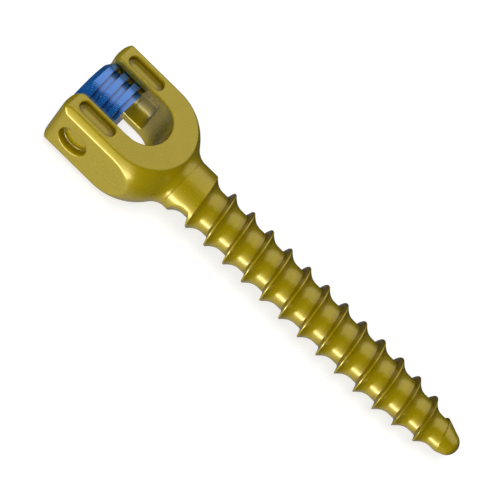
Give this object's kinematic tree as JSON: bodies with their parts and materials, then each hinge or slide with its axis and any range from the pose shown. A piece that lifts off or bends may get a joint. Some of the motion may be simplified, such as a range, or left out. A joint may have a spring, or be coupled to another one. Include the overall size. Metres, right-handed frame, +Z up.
{
  "type": "pedicle screw",
  "caption": "Bone screw for the spine: U-shaped head that holds a rod, coarse thread on a tapering shank, and a threaded set screw with a hexagon socket.",
  "frame": {"origin": "centre of the bounding box's lowest face, on the surface that the screw lies on", "axes": "+X from the head to the tip, +Z up, +Y completes a right-handed frame; the screw's own axis leans 1.6 degrees down towards the tip"},
  "size_m": [0.0572, 0.0122, 0.0088],
  "materials": {
    "gold_titanium": "gold-olive anodised titanium alloy, satin with bright highlights",
    "blue_titanium": "blue anodised titanium alloy, glossy"
  },
  "bodies": {
    "screw": {"screw_body": "gold_titanium"},
    "plug": {"set_screw": "blue_titanium"}
  },
  "joints": [
    {"name": "set_screw_travel", "type": "slide", "parent": "screw", "child": "plug", "axis": [-0.9996, 0, 0.028], "range_m": [-0.0016, 0.0048]}
  ]
}
